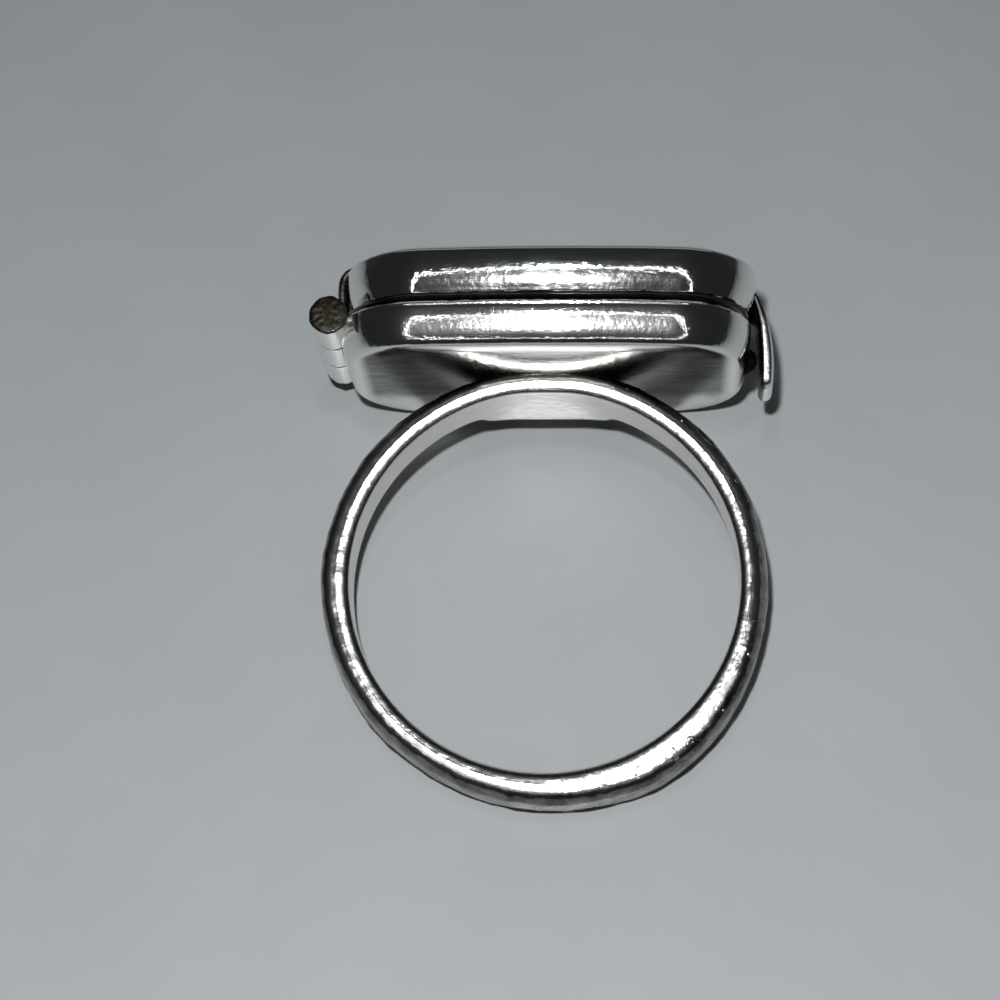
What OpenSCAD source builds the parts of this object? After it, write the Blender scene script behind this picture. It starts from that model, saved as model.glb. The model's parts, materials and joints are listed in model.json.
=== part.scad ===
// Poison ring: a forged band that carries a closed oblong box with a hinged lid.
// The ring is drawn upright first: X runs from the hinge end to the clasp end of the box,
// Y runs along the finger and Z runs up to the lid, from the middle of the finger hole.
// It is then laid on its side, on the band's edge and the side of the box.

/* [Finger hole and band] */
// Inside diameter of the band
finger_d = 17.3; // [15:0.1:21]
// Thickness of the band at its sides
band_t = 1.28; // [1:0.01:1.8]
// Width of the band along the finger
band_w = 2.7; // [2.2:0.1:4]
// Width of the flattened pad under the box
pad_w = 5.1; // [4:0.1:7]
// Depth of the flat inside the band under the box
pad_flat = 0.2; // [0.05:0.05:0.2]
// Metal between that flat and the underside of the box
pad_t = 0.6; // [0.5:0.05:1.2]

/* [Box] */
// Length of the box from hinge end to clasp end
box_l = 18.5; // [16:0.1:24]
// Width of the box along the finger
box_w = 11.4; // [10:0.1:15]
// Corner radius of the box seen from above
corner_r = 3.8; // [3:0.1:4.6]
// Thickness of the sheet
sheet_t = 0.5; // [0.4:0.05:0.7]
// Height of the tray
tray_h = 2.85; // [2.4:0.05:4]
// Height of the widest level of the tray above its underside
tray_belly = 1.7; // [1.4:0.05:1.9]
// Height of the lid at its middle
lid_h = 2.6; // [2.2:0.05:4]
// Height of the widest level of the lid above the seam
lid_belly = 1; // [0.8:0.05:1.2]
// How far the rounded lower edge reaches in from the wall
edge_in = 1.3; // [0.9:0.1:1.6]
// How far both walls draw in at the seam
seam_in = 0.45; // [0.2:0.05:0.6]
// Gap between the closed lid and the tray
seam_gap = 0.05; // [0.03:0.01:0.1]
// How far the lid sits towards the clasp end
lid_shift = 0.25; // [0:0.05:0.3]

/* [Hinge] */
// Outer diameter of the knuckles
knuckle_d = 1.7; // [1.5:0.05:2]
// Length of the whole hinge
hinge_w = 7.8; // [6:0.1:9]
// Distance from the end of the tray to the hinge axis
hinge_out = 0.35; // [0.3:0.05:0.5]
// Height of the hinge axis below the seam
hinge_drop = 0.45; // [0.35:0.05:0.5]
// Gap between two knuckles
knuckle_gap = 0.06; // [0.04:0.01:0.12]
// Gap between a knuckle and the other half of the box
knuckle_clear = 0.1; // [0.06:0.01:0.15]
// Thickness of the leaf on the end of the lid
leaf_t = 0.3; // [0.2:0.05:0.4]
// Diameter of the hinge pin
pin_d = 0.8; // [0.6:0.05:0.9]
// Gap between the pin and the wall of its hole
pin_clear = 0.03; // [0.02:0.01:0.05]
// How far each end of the pin lies inside the knuckles
pin_recess = 0.08; // [0:0.01:0.2]

/* [Clasp] */
// Width of the tongue
tongue_w = 3; // [2.4:0.1:4]
// Thickness of the tongue
tongue_t = 0.55; // [0.4:0.05:0.6]
// Bending radius of the tongue's outer face
tongue_r = 5.65; // [5.2:0.05:7]
// How far the tongue's outer face stands out from the end of the tray
tongue_out = 1.08; // [1.05:0.01:1.3]
// Depth of the tongue's widest point below the seam
tongue_low = 1.75; // [1.5:0.05:2]
// How far the tip reaches below the underside of the box
tip_below = 0.15; // [0:0.05:0.4]
// Diameter of the catch bead
bead_d = 0.9; // [0.7:0.05:1]
// Gap between the catch bead and the tongue
bead_gap = 0.08; // [0.06:0.01:0.1]

/* [Hidden] */
$fn = 96;
silver = [0.80, 0.80, 0.79];
bright_silver = [0.88, 0.88, 0.87];
steel_grey = [0.60, 0.60, 0.62];

// Heights in the upright ring
finger_r = finger_d / 2;
flat_z = finger_r - pad_flat;
tray_z = flat_z + pad_t;
seam_z = tray_z + tray_h;

// The box in plan: its corner axes stand at these distances from the middle
corner_x = box_l / 2 - corner_r;
corner_y = box_w / 2 - corner_r;
lid_square = 3.2;

// Hinge
hinge_x = -box_l / 2 - hinge_out;
hinge_z = seam_z - hinge_drop;
knuckle_r = knuckle_d / 2;
knuckle_w = hinge_w / 3;

// Clasp
tongue_mid = [box_l / 2 + tongue_out - tongue_r, seam_z - tongue_low];
tongue_top = seam_z + 1.3 * lid_belly;
tongue_tip = tray_z - tip_below;
bead_r = bead_d / 2;
bead_reach = box_l / 2 + tongue_out - tongue_t - bead_gap;

// The band's sections, clockwise from the middle of the box as seen from the near side:
// angle, thickness as a share of band_t, width as a share of the way from band_w to pad_w
BAND = [
    [0, 0.95, 1],
    [11, 0.95, 0.98],
    [21, 0.94, 0.55],
    [33, 0.95, 0.08],
    [55, 0.98, 0],
    [90, 0.98, 0],
    [118, 1.07, 0.02],
    [148, 1.32, 0.13],
    [164, 1.20, 0.08],
    [182, 1.10, 0],
    [212, 0.98, 0],
    [250, 1.01, 0],
    [275, 1.05, 0],
    [305, 1.02, 0],
    [327, 0.96, 0.08],
    [339, 0.94, 0.55],
    [349, 0.95, 0.98],
    [360, 0.95, 1]
];
band_steps = 90;
arch_steps = 8;
edge_share = 0.28;
bore_spare = 0.4;

// A table column at an angle, eased between the rows on both sides of it
function ease(t) = t * t * (3 - 2 * t);
function row_at(table, a, i = 0) =
    i >= len(table) - 2 || a < table[i + 1][0] ? i : row_at(table, a, i + 1);
function table_at(table, a, column) =
    let (i = row_at(table, a), lo = table[i], hi = table[i + 1])
    let (t = ease((a - lo[0]) / (hi[0] - lo[0])))
    lo[column] + (hi[column] - lo[column]) * t;

// One D-shaped section of the band: a straight inner part, then an arch over the outside,
// cut off level inside the floor of the tray
function band_section(a) =
    let (t = band_t * table_at(BAND, a, 1))
    let (half = (band_w + (pad_w - band_w) * table_at(BAND, a, 2)) / 2)
    let (edge = edge_share * t)
    let (top = cos(a) > 0.5 ? (tray_z + sheet_t / 2) / cos(a) : finger_d)
    [
        for (p = [
            [half, finger_r - bore_spare],
            for (i = [0:arch_steps])
                let (b = 180 * i / arch_steps)
                [half * cos(b), min(top, finger_r + edge + (t - edge) * sin(b))],
            [-half, finger_r - bore_spare]
        ])
            [p[1] * sin(a), p[0], p[1] * cos(a)]
    ];

module band_loft() {
    sections = [for (i = [0:band_steps - 1]) band_section(360 * i / band_steps)];
    n = len(sections[0]);
    polyhedron(
        points = [for (s = sections) each s],
        faces = [
            for (i = [0:band_steps - 1], j = [0:n - 1])
                let (next_i = (i + 1) % band_steps, next_j = (j + 1) % n)
                let (a = i * n + j, b = i * n + next_j, c = next_i * n + next_j, d = next_i * n + j)
                each [[a, c, b], [a, d, c]]
        ]
    );
}

// The space inside the band: a true bore with a flat at the top
module finger_hole() {
    long = pad_w + 2;
    intersection() {
        rotate([90, 0, 0]) cylinder(r = finger_r, h = long, center = true);
        translate([-finger_d, -long, -finger_d]) cube([2 * finger_d, 2 * long, finger_d + flat_z]);
    }
}

module band() {
    difference() {
        band_loft();
        finger_hole();
    }
}

// Side profiles, as distance from a corner axis and height from the underside or the seam.
// inset draws the profile in by a thickness, and a negative one grows it.
function arc(mid, radii, from, to, steps = 8, power = 1, first = 0) = [
    for (i = [first:steps])
        let (a = from + (to - from) * i / steps)
        mid + [
            radii[0] * sign(cos(a)) * pow(abs(cos(a)), power),
            radii[1] * sign(sin(a)) * pow(abs(sin(a)), power)
        ]
];

function tray_profile(inset, rise) =
    let (r = corner_r - inset)
    concat(
        [[0, inset]],
        arc([r - edge_in, tray_belly], [edge_in, tray_belly - inset], -90, 0),
        arc([r - seam_in, tray_belly], [seam_in, tray_h - tray_belly], 0, 90, first = 1),
        rise > 0 ? [[r - seam_in, tray_h + rise], [0, tray_h + rise]] : [[0, tray_h]]
    );

function lid_profile(inset, drop) =
    let (r = corner_r - inset, top = lid_h - lid_belly - inset)
    concat(
        drop > 0 ? [[0, -drop], [r - seam_in, -drop]] : [[0, 0]],
        arc([r - seam_in, lid_belly], [seam_in, lid_belly], -90, 0),
        arc([0, lid_belly], [r, top], 0, 90, 14, 2 / lid_square, 1)
    );

// A solid whose outline is the box's plan and whose sides follow a profile
module pillow(profile) {
    cross = concat(
        [for (p = profile) [p[0] + corner_y, p[1]]],
        [for (i = [len(profile) - 1:-1:0]) [-profile[i][0] - corner_y, profile[i][1]]]
    );
    translate([-corner_x, 0, 0]) rotate([90, 0, 90]) linear_extrude(2 * corner_x) polygon(cross);
    for (end = [0, 1]) mirror([end, 0, 0]) {
        translate([corner_x, corner_y, 0]) rotate([90, 0, 0])
            linear_extrude(2 * corner_y) polygon(profile);
        for (side = [0, 1]) mirror([0, side, 0])
            translate([corner_x, corner_y, 0]) rotate_extrude(angle = 90) polygon(profile);
    }
}

// A cylinder on the hinge axis, from y0 to y1
module on_hinge(r, y0, y1) {
    translate([hinge_x, y1, hinge_z]) rotate([90, 0, 0]) cylinder(r = r, h = y1 - y0);
}

module pin_hole() {
    on_hinge(pin_d / 2 + pin_clear, -hinge_w, hinge_w);
}

module outer_knuckles() {
    for (side = [0, 1]) mirror([0, side, 0])
        on_hinge(knuckle_r, knuckle_w / 2 + knuckle_gap / 2, hinge_w / 2);
}

module middle_knuckle() {
    on_hinge(knuckle_r, -knuckle_w / 2 + knuckle_gap / 2, knuckle_w / 2 - knuckle_gap / 2);
}

module catch_bead() {
    translate([bead_reach - bead_r, 0, tongue_mid[1] + bead_r / 2]) sphere(r = bead_r);
}

module tray() {
    difference() {
        translate([0, 0, tray_z]) pillow(tray_profile(0, 0));
        translate([0, 0, tray_z]) pillow(tray_profile(sheet_t, 1));
        on_hinge(
            knuckle_r + knuckle_clear,
            -knuckle_w / 2 - knuckle_gap / 2,
            knuckle_w / 2 + knuckle_gap / 2
        );
    }
}

module lid_shell() {
    translate([lid_shift, 0, seam_z + seam_gap]) difference() {
        pillow(lid_profile(0, 0));
        pillow(lid_profile(sheet_t, 1));
    }
}

// The leaf follows the end wall of the lid and runs down into the middle knuckle
module hinge_leaf() {
    width = knuckle_w - knuckle_gap;
    translate([lid_shift - corner_x, width / 2, seam_z + seam_gap])
        rotate([90, 0, 0]) linear_extrude(width) intersection() {
            mirror([1, 0]) difference() {
                polygon(lid_profile(-leaf_t, 0));
                polygon(lid_profile(sheet_t / 2, 0));
            }
            translate([-2 * corner_r, 0]) square([corner_r + edge_in, lid_h - leaf_t]);
        }
}

// A bent strip with a rounded tip: its side view is a piece of a ring, its end view a tab
module clasp_tongue() {
    half = tongue_w / 2;
    intersection() {
        translate([0, half, 0]) rotate([90, 0, 0]) linear_extrude(tongue_w) intersection() {
            translate(tongue_mid) difference() {
                circle(r = tongue_r);
                circle(r = tongue_r - tongue_t);
            }
            translate([box_l / 2 - corner_r / 2, tongue_tip])
                square([corner_r + tongue_out, tongue_top - tongue_tip]);
        }
        translate([corner_x, 0, 0]) rotate([90, 0, 90]) linear_extrude(box_l) union() {
            translate([0, tongue_tip + half]) circle(r = half);
            translate([-half, tongue_tip + half]) square([tongue_w, tongue_top - tongue_tip]);
        }
    }
}

// The angle at which the ring leans when it lies on its side. The floor touches the lower
// far edge of the band and the rounded lower edge of the tray, where it is tangent.
band_low = [band_w / 2, -finger_r - edge_share * band_t * table_at(BAND, 182, 1)];
function tray_touch(t) =
    let (n = [edge_in * cos(t), tray_belly * sin(t)], size = norm(n))
    [
        box_w / 2 - edge_in + edge_in * n[0] / size,
        tray_z + tray_belly - tray_belly * n[1] / size
    ];
function lean_angle(t, rounds) =
    rounds == 0 ? t :
    let (d = tray_touch(t) - band_low)
    lean_angle(atan2(d[0], d[1]), rounds - 1);
lean = lean_angle(12, 6);

module laid_down() {
    rotate([lean - 90, 0, 0]) children();
}

module ring_body() {
    color(silver) laid_down() difference() {
        union() {
            band();
            tray();
            outer_knuckles();
            catch_bead();
        }
        pin_hole();
    }
}

module lid() {
    color(bright_silver) laid_down() difference() {
        union() {
            lid_shell();
            hinge_leaf();
            middle_knuckle();
            clasp_tongue();
        }
        pin_hole();
        for (side = [0, 1]) mirror([0, side, 0])
            on_hinge(knuckle_r + knuckle_clear, knuckle_w / 2, hinge_w / 2 + 1);
    }
}

module hinge_pin() {
    color(steel_grey) laid_down()
        on_hinge(pin_d / 2, -hinge_w / 2 + pin_recess, hinge_w / 2 - pin_recess);
}

ring_body();
lid();
hinge_pin();
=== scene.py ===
# %% [markdown]
# A silver poison ring, laid on its side on a pale floor. A poison ring is a finger ring that
# carries a small closed box: a tray soldered on the band, a hinged lid over it, and a springy
# tongue on the lid that snaps over a bead. The packed CAD part gives the bodies, the joint and
# the level of the floor, so the script loads it first and dresses it piece by piece.

# %% Load the frame
import json
import math

import bmesh
import bpy
import numpy as np
from mathutils import Matrix, Vector, noise


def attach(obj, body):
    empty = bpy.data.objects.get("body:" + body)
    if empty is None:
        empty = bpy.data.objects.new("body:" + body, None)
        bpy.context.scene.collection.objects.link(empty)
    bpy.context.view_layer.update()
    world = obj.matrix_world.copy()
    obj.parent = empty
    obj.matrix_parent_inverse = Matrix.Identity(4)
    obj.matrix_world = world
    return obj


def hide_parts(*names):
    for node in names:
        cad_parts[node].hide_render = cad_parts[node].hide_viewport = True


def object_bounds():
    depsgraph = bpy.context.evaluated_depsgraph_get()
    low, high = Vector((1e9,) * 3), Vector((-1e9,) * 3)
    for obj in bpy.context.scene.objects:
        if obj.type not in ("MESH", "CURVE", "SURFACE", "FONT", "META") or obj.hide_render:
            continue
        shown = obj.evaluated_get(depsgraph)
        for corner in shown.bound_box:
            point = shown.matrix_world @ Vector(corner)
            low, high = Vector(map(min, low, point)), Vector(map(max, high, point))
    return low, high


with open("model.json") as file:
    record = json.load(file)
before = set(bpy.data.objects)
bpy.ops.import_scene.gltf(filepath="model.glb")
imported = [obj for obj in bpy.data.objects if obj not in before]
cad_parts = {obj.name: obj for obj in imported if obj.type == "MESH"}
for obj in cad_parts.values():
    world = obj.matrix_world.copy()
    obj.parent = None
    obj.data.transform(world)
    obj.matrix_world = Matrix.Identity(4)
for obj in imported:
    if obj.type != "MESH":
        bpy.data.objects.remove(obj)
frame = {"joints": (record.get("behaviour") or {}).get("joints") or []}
cad_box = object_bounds()
print("CAD box, mm:", [[round(c * 1000, 2) for c in corner] for corner in cad_box])

# %% [markdown]
# A ring is easiest to think of upright: X from the hinge to the clasp, Y along the finger and
# Z up to the lid, in millimetres from the middle of the finger hole. The part lies on its side,
# so each mesh is drawn upright and then laid down by one matrix. The hinge pin runs along the
# finger, so the joint's axis tells how far the ring leans.

# %% From the upright ring to the floor
MM = 0.001
TURN = 2 * math.pi
AXIS = frame["joints"][0]["axis"]
LEAN = math.atan2(-AXIS[1], AXIS[2])
LAID = Matrix.Rotation(LEAN - math.pi / 2, 4, "X") @ Matrix.Scale(MM, 4)
FLOOR_Z = cad_box[0].z
print(f"The ring leans {math.degrees(LEAN):.2f} degrees, the floor is at {FLOOR_Z * 1000:.3f} mm")

# %% [markdown]
# The camera looks steeply down at the ring, from the side where the band is, so the underside of
# the box and the inside of the band show. It could be placed by eye, but mirrors show every
# degree, so its place, aim and roll come from a fit to the outlines of the two rims of the band.
# The lens is long, as on a phone held close and cropped.

# %% Camera
CAMERA_AT = Vector((4.252, -58.817, 120.326)) * MM
CAMERA_AIM = Vector((-2.0, 3.352, 1.786)) * MM
CAMERA_ROLL = math.radians(-5.194)
SENSOR_MM, LENS_MM = 36, 108.15
NEAREST, FARTHEST = 0.005, 5

camera = bpy.data.objects.new("camera", bpy.data.cameras.new("camera"))
bpy.context.scene.collection.objects.link(camera)
camera.data.sensor_width, camera.data.lens = SENSOR_MM, LENS_MM
camera.data.clip_start, camera.data.clip_end = NEAREST, FARTHEST
camera.location = CAMERA_AT
camera.rotation_mode = "QUATERNION"
look = (CAMERA_AIM - CAMERA_AT).to_track_quat("-Z", "Y")
camera.rotation_quaternion = look @ Matrix.Rotation(CAMERA_ROLL, 3, "Z").to_quaternion()
bpy.context.scene.camera = camera
print("Camera distance, mm:", round(CAMERA_AT.length * 1000, 1))

# %% [markdown]
# Node trees can be drawn by hand or written as sums. Here a small class wraps one output of a
# node, so that 1 - mask or noise * 0.3 adds the Math nodes by itself. The same class serves the
# materials and the Geometry Nodes, so a mask on silver and a dent in it are written alike.


# %% A wire that can be added and multiplied
class Wire:
    """One output of a node, on which plain maths adds Math nodes."""

    def __init__(self, tree, socket):
        self.tree, self.socket = tree, socket

    def maths(self, operation, *others):
        inputs = dict(enumerate((self, *others)))
        return self.tree.node("ShaderNodeMath", {"operation": operation}, inputs)

    def after(self, operation, first):
        return self.tree.node("ShaderNodeMath", {"operation": operation}, {0: first, 1: self})

    def __add__(self, other):
        return self.maths("ADD", other)

    def __sub__(self, other):
        return self.maths("SUBTRACT", other)

    def __mul__(self, other):
        return self.maths("MULTIPLY", other)

    def __truediv__(self, other):
        return self.maths("DIVIDE", other)

    def __pow__(self, other):
        return self.maths("POWER", other)

    def __abs__(self):
        return self.maths("ABSOLUTE")

    def __rsub__(self, other):
        return self.after("SUBTRACT", other)

    __radd__, __rmul__ = __add__, __mul__

    def larger(self, other):
        """The larger of two values, which lays one mask over another."""
        return self.maths("MAXIMUM", other)

    def smooth(self, low, high, first=0.0, last=1.0):
        """An S-shaped step from first to last while the value runs from low to high."""
        ends = {"From Min": low, "From Max": high, "To Min": first, "To Max": last}
        settings = {"interpolation_type": "SMOOTHSTEP"}
        return self.tree.node("ShaderNodeMapRange", settings, {"Value": self, **ends})

    def ramp(self, low, high, first=0.0, last=1.0):
        """A straight run from first to last while the value runs from low to high."""
        ends = {"From Min": low, "From Max": high, "To Min": first, "To Max": last}
        return self.tree.node("ShaderNodeMapRange", {}, {"Value": self, **ends})

    def all(self):
        """Every output of the node that this wire leaves."""
        return [Wire(self.tree, socket) for socket in self.socket.node.outputs]


print("A wire takes + - * / ** and abs(), and a number may stand before + - and *")

# %% [markdown]
# A wire has to come from somewhere. The second class is the sheet of paper: it adds any node
# from its type, its settings and its sockets, and has short names for what is used often, such
# as noise in waves per millimetre.


# %% A tree that nodes are added to
class Tree:
    """A node tree that is being written."""

    def __init__(self, tree):
        self.tree = tree

    def node(self, kind, settings=None, sockets=None, out=0):
        """Adds a node: its settings first, then a value or a wire for each socket."""
        made = self.tree.nodes.new(kind)
        for name, value in (settings or {}).items():
            if name == "points":
                line = made.mapping.curves[0].points
                while len(line) < len(value):
                    line.new(0.5, 0.5)
                for point, place in zip(line, value):
                    point.location, point.handle_type = place, "AUTO_CLAMPED"
                made.mapping.update()
            else:
                setattr(made, name, value)
        for name, value in (sockets or {}).items():
            if isinstance(value, Wire):
                self.tree.links.new(value.socket, made.inputs[name])
            else:
                made.inputs[name].default_value = value
        return Wire(self, made.outputs[out])

    def parts(self, vector):
        """The three numbers of a vector."""
        return self.node("ShaderNodeSeparateXYZ", {}, {0: vector}).all()

    def vector(self, x, y, z):
        return self.node("ShaderNodeCombineXYZ", {}, {0: x, 1: y, 2: z})

    def noise(self, place, scale, detail=2.0, roughness=0.5, stretch=(1, 1, 1), shift=0.0):
        """Soft noise from 0 to 1. The scale is in waves per millimetre."""
        factor = tuple(scale * s for s in stretch)
        moved = {0: place, 1: factor, 2: (shift, shift, shift)}
        at = self.node("ShaderNodeVectorMath", {"operation": "MULTIPLY_ADD"}, moved)
        sockets = {"Vector": at, "Scale": 1.0, "Detail": detail, "Roughness": roughness}
        return self.node("ShaderNodeTexNoise", {}, sockets)

    def mix(self, factor, first, second):
        """A colour between two colours."""
        sockets = {0: factor, 6: first, 7: second}
        return self.node("ShaderNodeMix", {"data_type": "RGBA"}, sockets, out=2)

    def curve(self, value, points):
        """A smooth curve through (0 to 1, 0 to 1) points, read at a value."""
        return self.node("ShaderNodeFloatCurve", {"points": points}, {"Value": value})


print("A tree adds:", [name for name in vars(Tree) if not name.startswith("_")])

# %% [markdown]
# Every pattern on the ring is read in the upright ring's millimetres, from Object coordinates,
# so that it stays on its piece when the lid turns. Polishing leaves fine lines in the direction
# of the stroke: they are noise that is stretched along it. On the band the strokes went across,
# so there the noise is read round the ring, and it has a few deeper nicks at its widest part.

# %% Where a pattern is read
MARKS_ROUND, MARKS_ALONG = 90.0, 1.6


def upright(t):
    """Object coordinates turned back into the upright ring, in millimetres."""
    place = t.node("ShaderNodeTexCoord", out="Object")
    turned = {"Vector": place, "Rotation": (math.pi / 2 - LEAN, 0, 0), "Scale": (1 / MM,) * 3}
    return t.node("ShaderNodeMapping", {"vector_type": "POINT"}, turned)


def along(*stretch):
    """Fine lines along one direction: noise with its own waves per millimetre on each axis."""
    return lambda t, place: t.noise(place, 1.0, 3.0, 0.6, stretch)


def across_the_band(t, place):
    """Fine marks that run across the band, packed along the way round it, and a few nicks."""
    x, y, z = t.parts(place)
    radius = (x * x + z * z) ** 0.5
    at = t.vector(x / radius * MARKS_ROUND, z / radius * MARKS_ROUND, y * MARKS_ALONG)
    marks = t.node("ShaderNodeTexNoise", {"noise_dimensions": "4D"}, {
        "Vector": at, "W": radius * MARKS_ALONG, "Scale": 1.0, "Detail": 2.0, "Roughness": 0.5,
    })
    nicks = t.noise(place, 2.6, 1.0, 0.5, shift=41.0).smooth(0.62, 0.72)
    return marks + nicks * radius.smooth(9.3, 9.5) * x.smooth(0.0, 4.0) * 10.0


print(f"Patterns are turned back by {90 - math.degrees(LEAN):.2f} degrees")

# %% [markdown]
# Polished silver is a mirror, so its look is made of what it reflects and of how its surface
# scatters the light. Three things scatter it: fine polishing lines along the piece, small dings
# from the hammer and the file, and tarnish, which is brown to black and sits where no cloth
# reaches. The same dark colour also serves as painted shade, laid where shade and dark
# reflections fall. A single grey metal would look like plastic film, so one function makes each
# finish from all three and the painted shade, and the pieces differ in how strong each of them is.

# %% The metal of every silver piece
BRIGHT = (0.90, 0.89, 0.87, 1.0)
# One dark colour for real tarnish and for painted shade alike.
TARNISH_AND_SHADE = (0.006, 0.0052, 0.0045, 1.0)
# Heights over which the marks fade, towards the plain polished top of the lid.
CALM_HEIGHTS, CALM_SHARE = (13.2, 14.0), 0.2
BLACK_FROM = 0.996
COAT_ROUGH = 0.36


def metal(name, tarnish_and_shade, lines, rough=(0.06, 0.10), ding=4.6, ding_um=9.0, line_um=2.0,
          colour=BRIGHT, stain_and_shade=TARNISH_AND_SHADE, haze=0.0):
    """Polished metal. tarnish_and_shade and lines are functions of the tree and the place; the first
    masks real tarnish and painted shade, which take the colour stain_and_shade. rough is the
    least and most roughness, ding is in waves per mm, ding_um and line_um are depths in
    thousandths of a mm, and haze is the weight of a dull coat."""
    material = bpy.data.materials.new(name)
    material.use_nodes = True
    tree = material.node_tree
    shader = tree.nodes["Principled BSDF"]
    t = Tree(tree)
    place = upright(t)
    streaks = lines(t, place)
    dings = t.noise(place, ding, 2.0, 0.5, shift=3.0)
    cloudy = t.noise(place, 0.7, 3.0, 0.6, shift=9.0)
    # dark holds real tarnish and painted shade, from the mask that each piece passes in.
    dark = tarnish_and_shade(t, place)
    calm = t.parts(place)[2].smooth(*CALM_HEIGHTS, 1.0, CALM_SHARE)
    relief = (dings * ding_um + streaks * line_um) * calm
    polish = cloudy.smooth(0.35, 0.7) * 0.6 + streaks.smooth(0.4, 0.75) * 0.4
    dull = dark * 0.1 + dark.smooth(BLACK_FROM, 1.0) * 0.4
    wires = {
        "Base Color": t.mix(dark, colour, stain_and_shade),
        "Roughness": rough[0] + polish * (rough[1] - rough[0]) + dull,
        "Normal": t.node("ShaderNodeBump", {}, {"Height": relief, "Distance": MM * MM}),
        "Coat Weight": (1 - dark) * haze,
    }
    for socket, wire in wires.items():
        tree.links.new(wire.socket, shader.inputs[socket])
    shader.inputs["Metallic"].default_value = 1.0
    shader.inputs["Coat Roughness"].default_value = COAT_ROUGH
    print(f"{name}: {len(tree.nodes)} nodes")
    return material


print("Clean silver", BRIGHT[:3], "and tarnish", TARNISH_AND_SHADE[:3])

# %% [markdown]
# Tarnish follows the shape, because it is what the polishing cloth couldn't reach, and on the box
# the same dark colour is also painted shade. The groove between lid and tray is patina and painted
# shade together. The flat underside is darkened in brushed patches beside the band, painted shade
# that stands for the floor shaded by the band, which the underside mirrors, and its corners by the
# band are painted nearly black. The end wall behind the tongue is painted dark as shade in the gap.
# A faint brown breath over all is real tarnish. It could be painted, but a rule in millimetres
# stays sharp at any distance, so each dark place is a mask, and the largest mask wins.

# %% Tarnish and painted shade on the box
SEAM_Z = 11.925
BOX_FLOOR_Z = 9.05
CATCH_Z = 10.9


def breath(t, place, amount=0.07):
    """A faint brown breath that all of the silver has."""
    return t.noise(place, 0.45, 4.0, 0.65, shift=17.0).smooth(0.48, 0.75) * amount


def groove_patina_and_shade(t, place, up):
    """The groove under the lid, with a ragged edge: patina and painted shade together."""
    ragged = (t.noise(place, 1.4, 3.0, 0.6, shift=31.0) - 0.5) * 0.3
    return (abs(up - (SEAM_Z - 0.18)) + ragged).smooth(0.235, 0.275, 0.995, 0.0)


def underside_painted_shade(t, place, x, y, up):
    """Painted shade on the underside: brushed dark patches at both ends, standing for the floor
    shaded by the band that the underside mirrors, and black corners beside the band.
    """
    below = up.smooth(BOX_FLOOR_Z + 0.49, BOX_FLOOR_Z + 0.56, 1.0, 0.0)
    uneven = (t.noise(place, 1.3, 3.0, 0.6, shift=11.0) - 0.5) * 1.1
    slant = abs(x) + y * 0.33 + uneven
    brushed = t.noise(place, 1.0, 4.0, 0.7, (0.5, 2.6, 2.6), 6.0).smooth(0.3, 0.7, 0.82, 0.97)
    patch = slant.smooth(3.5, 4.6) * abs(x).smooth(7.8, 8.5, 1.0, 0.0) * brushed
    patch = patch * (y + uneven).smooth(1.4, 3.0, 1.0, 0.35)
    from_pad = (abs(x) + y * 0.25 + uneven * 0.3).smooth(2.2, 3.0)
    # Painted shade: nearly black corners beside the band's pad.
    by_the_pad = from_pad * slant.smooth(4.7, 5.8, 0.88, 0.0) * y.smooth(-5.0, -4.6)
    return below * patch.larger(by_the_pad)


# Tarnish and painted shade on the box: the groove, the underside, the end wall and a faint real
# breath.
def box_tarnish_and_shade(t, place):
    x, y, up = t.parts(place)
    under_tongue = abs(y + 0.7).smooth(1.7, 2.3, 0.93, 0.0)
    at_catch = abs(up - CATCH_Z).smooth(1.1, 1.5, 1.0, 0.0)
    # Painted shade on the end wall, in the gap behind the tongue.
    behind = x.smooth(8.5, 8.9) * under_tongue * at_catch
    dark = groove_patina_and_shade(t, place, up).larger(underside_painted_shade(t, place, x, y, up)).larger(behind)
    return dark.larger(breath(t, place))


def inside_tarnish(t, place):
    return t.noise(place, 0.5, 4.0, 0.6, shift=5.0).smooth(0.35, 0.7, 0.12, 0.4)


print(f"The groove is centred at {SEAM_Z - 0.18:.3f} mm, the tray is drawn up from {BOX_FLOOR_Z} mm")

# %% [markdown]
# On the band the outside is painted darker in patches, as shade standing for the dark room that
# it mirrors, and the hole's edge has a painted dark line, a reflection of the dark room in its
# rounding. The corner where the band meets the box is nearly black, painted shade with tarnish,
# and the inside has a faint real tarnish. The sawn ends of the hinge are dark all over, the root of
# the tongue is painted dark as shade under the lid's edge, as is its side towards the box, and the
# leaf is brown.

# %% Tarnish and painted shade on the band and the small pieces
def band_tarnish_and_shade(t, place):
    x, _, up = t.parts(place)
    radius = (x * x + up * up) ** 0.5
    # Painted shade with tarnish in the corner where the band meets the box.
    corner = up.smooth(7.2, 8.3) * radius.smooth(9.3, 9.55, 0.0, 0.97)
    # Painted shade: the outside, which mirrors the dark room, is darkened in patches.
    patchy_shade = t.noise(place, 1.0, 3.0, 0.6, shift=21.0).smooth(0.3, 0.7, 0.68, 0.9)
    outside = radius.smooth(9.35, 9.7) * x.smooth(-8.0, 0.0, 0.9, 1.0) * patchy_shade
    inside = radius.smooth(8.62, 8.8, 0.12, 0.0)
    # Painted reflection: a dark line on the rounded edge of the hole.
    edge = radius.smooth(8.70, 8.78) * radius.smooth(8.88, 9.0, 0.85, 0.0)
    return corner.larger(outside).larger(edge).larger(breath(t, place, 0.12) + inside)


def grain_tarnish(t, place):
    return t.noise(place, 4.0, 3.0, 0.7, shift=2.0).smooth(0.3, 0.7, 1.0, 0.75)


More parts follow.
